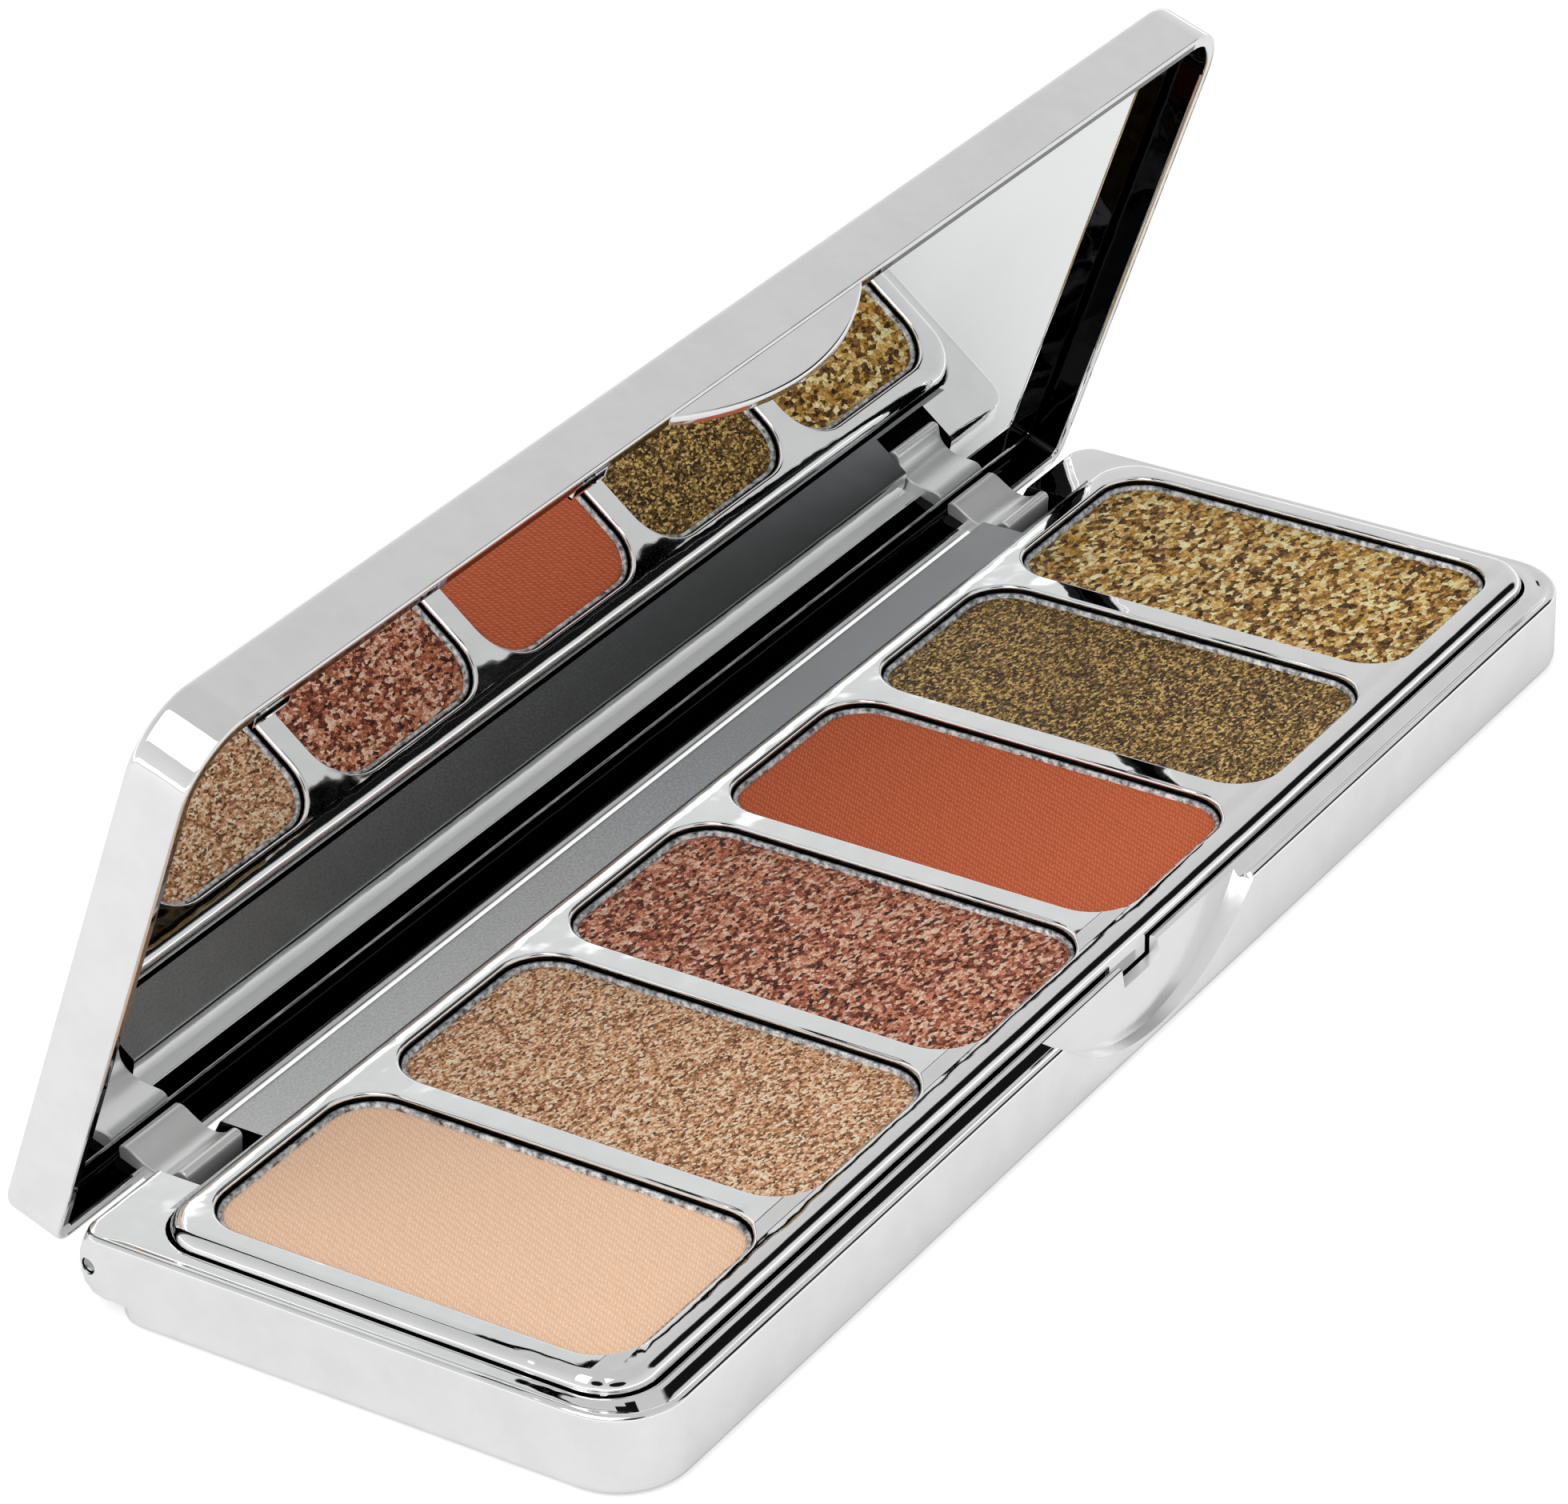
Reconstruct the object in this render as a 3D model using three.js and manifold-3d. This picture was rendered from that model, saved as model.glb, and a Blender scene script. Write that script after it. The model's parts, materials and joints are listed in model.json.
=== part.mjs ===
// Slim six-pan eyeshadow palette with a mirrored lid that stands open on friction hinges.
// Millimetres, +Z up. The origin is the middle of the flat underside of the base.
// +X runs along the length, -Y is the front with the thumb notch, +Y is the hinge side.
import * as THREE from 'three';
import { mergeVertices } from 'three/addons/utils/BufferGeometryUtils.js';
import Module from 'manifold-3d';

const wasm = await Module();
wasm.setup();

// Base case
const rimWidthEnds = 1.9;           // base's rim from the cavity to the outer face
const rimWidthFront = 2.63;
const flangeHeight = 7.1;           // top of the rim that the lid closes on
const floorThickness = 1.0;
const frontCornerRadius = 6;
const rearCornerRadius = 2;
const bottomEdgeRadius = 0.8;
const backEdgeRadius = 2.2;         // rounding of the back between rim and underside
const rearStepHeight = 1.8;         // the underside is higher behind the step

// Pans and powders
const panCount = 6;
const pitch = 24;
const powderWidth = 20.4;
const powderDepth = 37.3;
const powderCornerRadius = 3.8;
const powderThickness = 2.6;
const panWall = 0.3;
const panFloor = 0.3;
const panRimAbovePowder = 0.3;
const powderClearance = 0.1;        // powder to the pan's wall
const panClearance = 0.15;          // pan to the tray's well
const glueThickness = 0.2;
const glueLength = 24;
const glueWidth = 10;
const glueCornerRadius = 2.5;

// Tray
const trayProud = 1.3;              // tray's top above the rim
const trayMarginX = 2.65;           // from the end wells to the ends
const trayMarginY = 2.3;
const trayCornerRadius = 4.5;
const trayEdgeRadius = 0.6;
const trayClearance = 0.3;          // tray to the base's cavity
const trayRowY = -0.87;             // the row of pans lies a little to the front
const powderDrop = 0.9;             // powder surface below the tray's top

// Lid
const lidThickness = 5.5;           // rim to outer face
const lidGap = 0.3;                 // rim to the base's rim when closed
const lidOverhang = 0.4;            // lid's front face before the base's
const lidPlate = 1.2;
const lidWall = 1.3;
const lidEdgeRadius = 0.9;
const mirrorThickness = 1.1;
const mirrorMargin = 1.6;           // mirror's edge to the lid's inner walls
const mirrorCornerRadius = 3;
const adhesiveThickness = 0.2;
const adhesiveMargin = 1;           // adhesive's edge inside the mirror's
const frameWidth = 0.9;             // raised border round the mirror
const frameHeight = 1.6;
const frameClearance = 0.3;
const skinGap = 0.1;                // between lid, adhesive and mirror

// Hinge
const hingeBehindTray = 4.07;
const hingeBelowRim = 2.8;
const caseBehindHinge = 1.7;        // rounded back's furthest line behind the hinge axis
const lidBehindHinge = 0.6;         // lid's rear face behind the hinge axis
const stepBeforeHinge = 2.3;
const restAngle = 70.4;             // lid opening at rest, in degrees from closed
const pinRadius = 0.6;
const pinLength = 17.5;
const pinInset = 0.4;               // pin's end below the case's end face
const boreClearance = 0.1;
const knuckleRadius = 1.7;
const lugFromEnd = 14;              // lug's middle to the case's end face
const lugWidth = 7.2;
const lugGap = 0.4;                 // lug's sides to the slot's sides
const lugHeight = 5.6;              // lug's top above the hinge axis, lid closed
const lugRootDepth = 1.6;           // how far the lug stands out from the lid's wall
const lugFrontReach = 1.6;          // web's front face before the hinge axis
const lugBackReach = 1.0;           // web's back face behind the hinge axis, and above it

// Thumb notch, tab and catch
const notchWidth = 31.4;
const notchDrop = 6.0;
const notchDepth = 2.0;
const tabWidth = 28.4;
const tabDrop = 3.8;
const tabThickness = 1.1;
const tabSetback = 0.3;             // tab's face behind the lid's front face
const catchWidth = 5.0;
const catchHeight = 0.8;
const catchDrop = 1.3;              // catch's middle below the lid's rim
const catchReach = 0.7;
const catchClearance = 0.35;

const mergeDistance = 1e-5;         // points closer than this are one
const arcSteps = 4;                 // half the facets of a quarter turn
const overcut = 1;                  // how far a cutting tool passes the surface it cuts

// Sizes that follow from the values above
const trayTop = flangeHeight + trayProud;
const powderTop = trayTop - powderDrop;
const powderBottom = powderTop - powderThickness;
const panBottom = powderBottom - panFloor;
const panTop = powderTop + panRimAbovePowder;
const wellBottom = panBottom - glueThickness;
const panGrow = 2 * (powderClearance + panWall);
const panWidth = powderWidth + panGrow;
const panDepth = powderDepth + panGrow;
const panCornerRadius = powderCornerRadius + panGrow / 2;
const wellWidth = panWidth + 2 * panClearance;
const wellDepth = panDepth + 2 * panClearance;
const wellCornerRadius = panCornerRadius + panClearance;
const trayLength = pitch * (panCount - 1) + wellWidth + 2 * trayMarginX;
const trayDepth = wellDepth + 2 * trayMarginY;
const trayFront = trayRowY - trayDepth / 2;
const trayRear = trayRowY + trayDepth / 2;
const baseLength = trayLength + 2 * (trayClearance + rimWidthEnds);
const halfLength = baseLength / 2;
const lugCentreX = halfLength - lugFromEnd;
const baseFront = trayFront - trayClearance - rimWidthFront;
const hingeY = trayRear + hingeBehindTray;
const hingeZ = flangeHeight - hingeBelowRim;
const baseRear = hingeY + caseBehindHinge;
const rearStepY = hingeY - stepBeforeHinge;
const lidFront = baseFront - lidOverhang;
const lidRear = hingeY + lidBehindHinge;
const rimZ = flangeHeight + lidGap;
const lidTop = rimZ + lidThickness;
const lidCeiling = lidTop - lidPlate;
const lidDepth = lidRear - lidFront;
const lidMiddleY = (lidFront + lidRear) / 2;
const innerLength = baseLength - 2 * lidWall;
const innerDepth = lidDepth - 2 * lidWall;
const mirrorLength = innerLength - 2 * mirrorMargin;
const mirrorDepth = innerDepth - 2 * mirrorMargin;
const slotWidth = lugWidth + 2 * lugGap;
const slotFront = hingeY - knuckleRadius - lugGap;
const tabFace = lidFront + tabSetback;
const catchNose = tabFace + tabThickness + catchReach;
const catchZ = rimZ - catchDrop;
const adhesiveTop = lidCeiling - skinGap;
const mirrorTop = adhesiveTop - adhesiveThickness - skinGap;

function materialOf(name, colour, roughness, metalness) {
  return new THREE.MeshStandardMaterial({ name, color: colour, roughness, metalness });
}

const chrome = materialOf('chrome_plated_plastic', 0xd9d9dc, 0.08, 1);
const panMetal = materialOf('aluminium', 0xb9bbbd, 0.4, 1);
const pinSteel = materialOf('steel', 0x8f9194, 0.3, 1);
const mirrorGlass = materialOf('mirror', 0xeef1f2, 0.02, 1);
const adhesive = materialOf('adhesive', 0xe8e4d8, 0.8, 0);
const powders = [
  materialOf('powder_peach', 0xe4bd9f, 0.9, 0),
  materialOf('powder_champagne', 0xb79274, 0.5, 0.3),
  materialOf('powder_rose_copper', 0x996651, 0.45, 0.4),
  materialOf('powder_burnt_orange', 0xaf5a3d, 0.9, 0),
  materialOf('powder_olive_bronze', 0x715b39, 0.5, 0.3),
  materialOf('powder_antique_gold', 0x9c7d4e, 0.45, 0.4),
];

// Rectangle in a plan view with its own radius at the front (low y) and rear corners.
function roundedOutline(width, depth, frontRadius, rearRadius = frontRadius) {
  const x = width / 2;
  const y = depth / 2;
  const shape = new THREE.Shape();
  shape.moveTo(-x + frontRadius, -y);
  shape.absarc(x - frontRadius, -y + frontRadius, frontRadius, -Math.PI / 2, 0);
  shape.absarc(x - rearRadius, y - rearRadius, rearRadius, 0, Math.PI / 2);
  shape.absarc(-x + rearRadius, y - rearRadius, rearRadius, Math.PI / 2, Math.PI);
  shape.absarc(-x + frontRadius, -y + frontRadius, frontRadius, Math.PI, 1.5 * Math.PI);
  shape.closePath();
  return shape;
}

// Upright prism of an outline between two heights.
function prism(shape, bottom, top, x = 0, y = 0) {
  const geometry = new THREE.ExtrudeGeometry(shape, {
    depth: top - bottom, bevelEnabled: false, curveSegments: arcSteps,
  });
  return geometry.translate(x, y, bottom);
}

// Prism whose two rims are rounded by the given radius.
function softPrism(shape, bottom, top, radius, x = 0, y = 0) {
  const geometry = new THREE.ExtrudeGeometry(shape, {
    depth: top - bottom - 2 * radius,
    bevelEnabled: true,
    bevelThickness: radius,
    bevelSize: radius,
    bevelOffset: -radius,
    bevelSegments: 2,
    curveSegments: arcSteps,
  });
  return geometry.translate(x, y, bottom + radius);
}

// Box given by its two opposite corners.
function block(x0, x1, y0, y1, z0, z1) {
  const geometry = new THREE.BoxGeometry(x1 - x0, y1 - y0, z1 - z0);
  return geometry.translate((x0 + x1) / 2, (y0 + y1) / 2, (z0 + z1) / 2);
}

// Bar along X whose section is drawn in the YZ plane.
function barAlongX(section, x0, x1) {
  const geometry = new THREE.ExtrudeGeometry(section, {
    depth: x1 - x0, bevelEnabled: false, curveSegments: arcSteps,
  });
  geometry.rotateX(Math.PI / 2);
  geometry.rotateZ(Math.PI / 2);
  return geometry.translate(x0, 0, 0);
}

// Round rod along X, centred on the hinge axis.
function rodOnHinge(radius, x0, x1) {
  const geometry = new THREE.CylinderGeometry(radius, radius, x1 - x0, 4 * arcSteps);
  geometry.rotateZ(Math.PI / 2);
  return geometry.translate((x0 + x1) / 2, hingeY, hingeZ);
}

// Plate in the XZ plane: a circular segment hanging from a chord, y0 to y1 thick.
function crescent(width, drop, chordZ, y0, y1) {
  const half = width / 2;
  const radius = (half * half + drop * drop) / (2 * drop);
  const sweep = Math.asin(half / radius);
  const shape = new THREE.Shape();
  shape.moveTo(-half, chordZ + overcut);
  shape.absarc(0, chordZ - drop + radius, radius, -Math.PI / 2 - sweep, -Math.PI / 2 + sweep);
  shape.lineTo(half, chordZ + overcut);
  shape.closePath();
  const geometry = new THREE.ExtrudeGeometry(shape, {
    depth: y1 - y0, bevelEnabled: false, curveSegments: 4 * arcSteps,
  });
  geometry.rotateX(Math.PI / 2);
  return geometry.translate(0, y1, 0);
}

function solidOf(geometry) {
  const bare = geometry.clone();
  bare.deleteAttribute('normal');
  bare.deleteAttribute('uv');
  const merged = mergeVertices(bare, mergeDistance);
  return new wasm.Manifold(new wasm.Mesh({
    numProp: 3,
    vertProperties: new Float32Array(merged.attributes.position.array),
    triVerts: new Uint32Array(merged.index.array),
  }));
}

function geometryOf(solid) {
  const mesh = solid.getMesh();
  const geometry = new THREE.BufferGeometry();
  geometry.setAttribute('position', new THREE.BufferAttribute(mesh.vertProperties, 3));
  geometry.setIndex(new THREE.BufferAttribute(mesh.triVerts, 1));
  return geometry;
}

function joined(geometries) {
  return geometries.map(solidOf).reduce((sum, next) => sum.add(next));
}

function cut(solid, geometries) {
  return geometries.reduce((rest, tool) => rest.subtract(solidOf(tool)), solid);
}

function addPiece(group, name, geometry, material) {
  const mesh = new THREE.Mesh(geometry, material);
  mesh.name = name;
  group.add(mesh);
}

const sides = [['left', -1], ['right', 1]];

// Base: a shallow case with a cavity for the tray, a rounded back, a stepped underside,
// two slots for the lid's hinge lugs, and the thumb notch in the front wall.
function baseShell() {
  const plan = roundedOutline(baseLength, baseRear - baseFront, frontCornerRadius, rearCornerRadius);
  const middleY = (baseRear + baseFront) / 2;
  const above = bottomEdgeRadius + overcut;
  let solid = solidOf(softPrism(plan, 0, flangeHeight + above, bottomEdgeRadius, 0, middleY));

  // Side view of the case, which rounds the back and steps the underside.
  const profile = new THREE.Shape();
  profile.moveTo(baseFront - overcut, -overcut);
  profile.lineTo(rearStepY, -overcut);
  profile.lineTo(rearStepY, rearStepHeight);
  profile.lineTo(baseRear - backEdgeRadius / 2, rearStepHeight);
  profile.quadraticCurveTo(baseRear, rearStepHeight, baseRear, rearStepHeight + backEdgeRadius);
  profile.quadraticCurveTo(baseRear, flangeHeight, baseRear - backEdgeRadius / 2, flangeHeight);
  profile.lineTo(baseFront - overcut, flangeHeight);
  profile.closePath();
  solid = solid.intersect(solidOf(barAlongX(profile, -halfLength - overcut, halfLength + overcut)));

  const cavity = roundedOutline(
    trayLength + 2 * trayClearance, trayDepth + 2 * trayClearance, trayCornerRadius + trayClearance,
  );
  const tools = [
    prism(cavity, floorThickness, flangeHeight + overcut, 0, trayRowY),
    crescent(notchWidth, notchDrop, flangeHeight, baseFront - overcut, baseFront + notchDepth),
    block(
      -catchWidth / 2 - catchClearance, catchWidth / 2 + catchClearance,
      baseFront + notchDepth - overcut, catchNose + catchClearance,
      catchZ - catchHeight / 2 - catchClearance, flangeHeight + overcut,
    ),
  ];
  for (const [, side] of sides) {
    const middle = side * lugCentreX;
    tools.push(block(
      middle - slotWidth / 2, middle + slotWidth / 2,
      slotFront, baseRear + overcut, -overcut, flangeHeight + overcut,
    ));
    const [x0, x1] = pinSpan(side);
    tools.push(rodOnHinge(
      pinRadius + boreClearance, Math.min(x0, side * halfLength), Math.max(x1, side * halfLength),
    ));
  }
  return geometryOf(cut(solid, tools));
}

// Where a pin starts and ends: it goes in from the case's end, through the end block and the lug.
function pinSpan(side) {
  const outer = side * (halfLength - pinInset);
  const inner = outer - side * pinLength;
  return side < 0 ? [outer, inner] : [inner, outer];
}

// Tray: one moulding with a well for each pan, standing proud of the base's rim.
function panTray() {
  const plan = roundedOutline(trayLength, trayDepth, trayCornerRadius);
  const body = solidOf(softPrism(
    plan, floorThickness - trayEdgeRadius, trayTop, trayEdgeRadius, 0, trayRowY,
  ));
  const well = roundedOutline(wellWidth, wellDepth, wellCornerRadius);
  const tools = panCentres().map((x) => prism(well, wellBottom, trayTop + overcut, x, trayRowY));
  tools.push(block(
    -halfLength, halfLength, baseFront, baseRear, floorThickness - 2 * overcut, floorThickness,
  ));
  return geometryOf(cut(body, tools));
}

function panCentres() {
  return Array.from({ length: panCount }, (_, i) => (i - (panCount - 1) / 2) * pitch);
}

function pan() {
  const outer = roundedOutline(panWidth, panDepth, panCornerRadius);
  const inner = roundedOutline(
    panWidth - 2 * panWall, panDepth - 2 * panWall, panCornerRadius - panWall,
  );
  const body = solidOf(prism(outer, panBottom, panTop));
  return geometryOf(cut(body, [prism(inner, powderBottom, panTop + overcut)]));
}

// Lid: plate and walls, the border that frames the mirror, the thumb tab with its catch,
// and two goose-neck lugs with knuckles. Drawn closed, in the frame of the base.
function lidShell() {
  const plan = roundedOutline(baseLength, lidDepth, frontCornerRadius, rearCornerRadius);
  const hollow = roundedOutline(
    innerLength, innerDepth, frontCornerRadius - lidWall, rearCornerRadius - lidWall,
  );
  const below = lidEdgeRadius + overcut;
  const shell = cut(solidOf(softPrism(plan, rimZ - below, lidTop, lidEdgeRadius, 0, lidMiddleY)), [
    block(-halfLength, halfLength, lidFront - overcut, lidRear + overcut, rimZ - 2 * below, rimZ),
    prism(hollow, rimZ - overcut, lidCeiling, 0, lidMiddleY),
  ]);

  const borderIn = 2 * frameClearance;
  const borderOut = borderIn + 2 * frameWidth;
  const border = cut(
    solidOf(prism(
      roundedOutline(mirrorLength + borderOut, mirrorDepth + borderOut, mirrorCornerRadius + borderOut / 2),
      lidCeiling - frameHeight, lidCeiling + overcut / 2, 0, lidMiddleY,
    )),
    [prism(
      roundedOutline(mirrorLength + borderIn, mirrorDepth + borderIn, mirrorCornerRadius + borderIn / 2),
      lidCeiling - frameHeight - overcut, lidCeiling + overcut, 0, lidMiddleY,
    )],
  );

  const tab = joined([
    crescent(tabWidth, tabDrop, rimZ, tabFace, tabFace + tabThickness),
    block(
      -catchWidth / 2, catchWidth / 2, tabFace + tabThickness / 2, catchNose,
      catchZ - catchHeight / 2, catchZ + catchHeight / 2,
    ),
  ]);

  let solid = shell.add(border).add(tab);
  for (const [, side] of sides) {
    const x0 = side * lugCentreX - lugWidth / 2;
    const x1 = x0 + lugWidth;
    solid = solid.add(solidOf(barAlongX(lugSection(), x0, x1)));
    solid = solid.add(solidOf(rodOnHinge(knuckleRadius, x0, x1)));
    solid = solid.subtract(solidOf(
      rodOnHinge(pinRadius + boreClearance, x0 - overcut, x1 + overcut),
    ));
  }
  return geometryOf(solid);
}

// Goose-neck: a web from the knuckle up the inside of the lid's rear wall, hollowed in front.
function lugSection() {
  const wallInside = lidRear - lidWall;
  const top = hingeZ + lugHeight;
  const neckY = wallInside - lugRootDepth / 2;
  const section = new THREE.Shape();
  section.moveTo(hingeY - lugFrontReach, hingeZ);
  section.quadraticCurveTo(hingeY - lugFrontReach, hingeZ + knuckleRadius, neckY, rimZ);
  section.quadraticCurveTo(
    neckY, top - lugRootDepth, wallInside - lugRootDepth, top - lugRootDepth / 2,
  );
  section.lineTo(wallInside - lugRootDepth / 2, top);
  section.lineTo(wallInside + lidWall / 2, top);
  section.lineTo(wallInside + lidWall / 2, rimZ);
  section.lineTo(hingeY + lugBackReach, hingeZ + lugBackReach);
  section.lineTo(hingeY, hingeZ);
  section.closePath();
  return section;
}

const palette = new THREE.Group();

addPiece(palette, 'base_shell', baseShell(), chrome);
addPiece(palette, 'pan_tray', panTray(), chrome);
panCentres().forEach((x, i) => {
  const place = new THREE.Group();
  place.position.set(x, trayRowY, 0);
  palette.add(place);
  addPiece(place, `glue_pad_${i + 1}`, prism(
    roundedOutline(glueWidth, glueLength, glueCornerRadius), wellBottom, panBottom,
  ), adhesive);
  addPiece(place, `pan_${i + 1}`, pan(), panMetal);
  addPiece(place, `powder_${i + 1}`, prism(
    roundedOutline(powderWidth, powderDepth, powderCornerRadius), powderBottom, powderTop,
  ), powders[i]);
});
for (const [name, side] of sides) {
  addPiece(palette, `hinge_pin_${name}`, rodOnHinge(pinRadius, ...pinSpan(side)), pinSteel);
}

// The lid turns about the hinge axis, so its group sits on that axis.
const lidPivot = new THREE.Group();
lidPivot.position.set(0, hingeY, hingeZ);
lidPivot.rotation.x = -THREE.MathUtils.degToRad(restAngle);
palette.add(lidPivot);
const lid = new THREE.Group();
lid.position.set(0, -hingeY, -hingeZ);
lidPivot.add(lid);
addPiece(lid, 'lid_shell', lidShell(), chrome);
addPiece(lid, 'mirror_adhesive', prism(
  roundedOutline(
    mirrorLength - 2 * adhesiveMargin, mirrorDepth - 2 * adhesiveMargin, mirrorCornerRadius,
  ),
  adhesiveTop - adhesiveThickness, adhesiveTop, 0, lidMiddleY,
), adhesive);
addPiece(lid, 'mirror', prism(
  roundedOutline(mirrorLength, mirrorDepth, mirrorCornerRadius),
  mirrorTop - mirrorThickness, mirrorTop, 0, lidMiddleY,
), mirrorGlass);

export default palette;
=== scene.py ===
# Slim six-pan eyeshadow palette, standing open on a pale studio floor.
# Shapes are worked out in millimetres in the frame of the CAD model and written in metres.
import json
from math import asin, cos, pi, radians, sin

import bmesh
import bpy
from mathutils import Matrix, Vector


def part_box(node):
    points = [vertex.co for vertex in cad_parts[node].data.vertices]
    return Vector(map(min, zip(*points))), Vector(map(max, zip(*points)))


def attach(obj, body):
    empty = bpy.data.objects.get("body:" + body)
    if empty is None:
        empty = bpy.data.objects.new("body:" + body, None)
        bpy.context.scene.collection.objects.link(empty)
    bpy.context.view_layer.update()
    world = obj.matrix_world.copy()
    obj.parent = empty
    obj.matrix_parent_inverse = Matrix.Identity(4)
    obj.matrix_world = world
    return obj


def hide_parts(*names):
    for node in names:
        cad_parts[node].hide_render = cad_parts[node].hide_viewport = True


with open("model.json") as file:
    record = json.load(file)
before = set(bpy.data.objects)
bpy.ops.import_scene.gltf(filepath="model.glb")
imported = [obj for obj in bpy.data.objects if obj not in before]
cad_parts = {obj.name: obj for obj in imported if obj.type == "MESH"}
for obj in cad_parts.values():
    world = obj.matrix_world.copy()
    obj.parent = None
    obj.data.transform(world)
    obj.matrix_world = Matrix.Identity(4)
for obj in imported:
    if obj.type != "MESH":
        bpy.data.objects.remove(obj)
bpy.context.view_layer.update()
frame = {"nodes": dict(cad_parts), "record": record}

mm = 0.001

hinge = frame["record"]["behaviour"]["joints"][0]
hingeY, hingeZ = hinge["pos_m"][1] / mm, hinge["pos_m"][2] / mm
restAngle = radians(-hinge["range_deg"][0])   # how far the lid stands open


def boxOf(node):
    low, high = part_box(node)
    return Vector(low) / mm, Vector(high) / mm


baseLow, baseHigh = boxOf("base_shell")
lugCentreX = 61.6   # middle of each hinge lug


def outline(x0, x1, y0, y1, frontRadius, rearRadius, inset=0.0, z=0.0, steps=10):
    # rounded rectangle as a loop of points, always the same count for the same steps
    x0, x1, y0, y1 = x0 + inset, x1 - inset, y0 + inset, y1 - inset
    front, rear = max(frontRadius - inset, 0.05), max(rearRadius - inset, 0.05)
    corners = [
        (x1 - front, y0 + front, front, -pi / 2), (x1 - rear, y1 - rear, rear, 0),
        (x0 + rear, y1 - rear, rear, pi / 2), (x0 + front, y0 + front, front, pi),
    ]
    return [
        Vector((cx + r * cos(start + k * pi / 2 / steps), cy + r * sin(start + k * pi / 2 / steps), z))
        for cx, cy, r, start in corners for k in range(steps + 1)
    ]


def depthIn(point, x0, x1, y0, y1, frontRadius, rearRadius):
    # how far a point lies inside a rounded rectangle, measured from its outline
    sideways = min(point.x - x0, x1 - point.x)
    fromFront, fromRear = point.y - y0, y1 - point.y
    radius, lengthways = (frontRadius, fromFront) if fromFront < fromRear else (rearRadius, fromRear)
    if sideways < radius and lengthways < radius:
        return radius - ((radius - sideways) ** 2 + (radius - lengthways) ** 2) ** 0.5
    return min(sideways, lengthways)


def shareOf(value, start, end):
    # 0 before the start, 1 past the end, straight between them
    return min(max((value - start) / (end - start), 0), 1)


def between(loopA, loopB, share, z):
    # the loop a share of the way from one outline to another, at height z
    loop = [a.lerp(b, share) for a, b in zip(loopA, loopB)]
    for point in loop:
        point.z = z
    return loop


def addLoft(bm, loops, capStart=True, capEnd=True):
    # skins a stack of equal loops and returns the rings of vertices
    rings = [[bm.verts.new(point) for point in loop] for loop in loops]
    for low, high in zip(rings, rings[1:]):
        for k in range(len(low)):
            n = (k + 1) % len(low)
            bm.faces.new((low[k], low[n], high[n], high[k]))
    if capStart:
        bm.faces.new(list(reversed(rings[0])))
    if capEnd:
        bm.faces.new(rings[-1])
    return rings


def addSlab(bm, points, thickness):
    # closed slab from a flat outline moved along one direction
    addLoft(bm, [points, [p + thickness for p in points]])


def makeObject(name, bm, sharpAngle=35, scale=mm):
    bmesh.ops.recalc_face_normals(bm, faces=bm.faces)
    bmesh.ops.scale(bm, vec=(scale,) * 3, verts=bm.verts)
    mesh = bpy.data.meshes.new(name)
    bm.to_mesh(mesh)
    bm.free()
    for face in mesh.polygons:
        face.use_smooth = True
    mesh.set_sharp_from_angle(angle=radians(sharpAngle))
    obj = bpy.data.objects.new(name, mesh)
    bpy.context.scene.collection.objects.link(obj)
    return obj


def bakeModifiers(obj, sharpAngle=35):
    # turns the evaluated object into a plain mesh and drops its modifiers
    graph = bpy.context.evaluated_depsgraph_get()
    mesh = bpy.data.meshes.new_from_object(obj.evaluated_get(graph))
    obj.modifiers.clear()
    obj.data = mesh
    for face in mesh.polygons:
        face.use_smooth = True
    mesh.set_sharp_from_angle(angle=radians(sharpAngle))
    return obj


def softenEdges(obj, width, segments=2, angle=50):
    bevel = obj.modifiers.new("softEdges", "BEVEL")
    bevel.width = width * mm
    bevel.segments = segments
    bevel.limit_method = "ANGLE"
    bevel.angle_limit = radians(angle)
    bevel.harden_normals = False
    bevel.miter_outer = "MITER_ARC"


def evenShading(obj):
    # flat faces keep a flat reflection beside the rounded edges
    weighted = obj.modifiers.new("evenShading", "WEIGHTED_NORMAL")
    weighted.mode = "FACE_AREA"
    weighted.weight = 60
    weighted.keep_sharp = True


def cutAway(obj, cutters):
    for cutter in cutters:
        cut = obj.modifiers.new(cutter.name, "BOOLEAN")
        cut.operation = "DIFFERENCE"
        cut.solver = "EXACT"
        cut.object = cutter
    bakeModifiers(obj)
    for cutter in cutters:
        bpy.data.objects.remove(cutter, do_unlink=True)


def joinInto(target, others):
    bm = bmesh.new()
    bm.from_mesh(target.data)
    for other in others:
        bm.from_mesh(other.data)
        bpy.data.objects.remove(other, do_unlink=True)
    bm.to_mesh(target.data)
    bm.free()
    target.data.set_sharp_from_angle(angle=radians(35))


def paintFinishAndPaintedLight(obj, rule):
    # stores per face the painted shade (red), how frosted the plating is (green) and the painted light,
    # paler and duller plating (blue), there
    mesh = obj.data
    layer = mesh.color_attributes.new("finishAndPaintedLight", "FLOAT_COLOR", "CORNER")
    for face in mesh.polygons:
        finishAndPaintedLight = rule(face.center / mm, face.normal)
        for corner in face.loop_indices:
            layer.data[corner].color = (*finishAndPaintedLight, 1.0)


def bright(centre, normal):
    return 0.0, 0.0, 0.0


# painted light: paler, duller plating
def paintedLight(centre, normal):
    return 0.0, 0.0, 1.0


def openLid(obj):
    # turns a piece drawn on the closed lid to where the lid stands at rest
    pivot = Vector((0, hingeY * mm, hingeZ * mm))
    turn = Matrix.Translation(pivot) @ Matrix.Rotation(-restAngle, 4, "X") @ Matrix.Translation(-pivot)
    obj.data.transform(turn)



def hexColour(code):
    # sRGB hex to linear RGBA
    channels = [int(code[k:k + 2], 16) / 255 for k in (1, 3, 5)]
    return tuple(c / 12.92 if c <= 0.04045 else ((c + 0.055) / 1.055) ** 2.4 for c in channels) + (1.0,)


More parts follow.
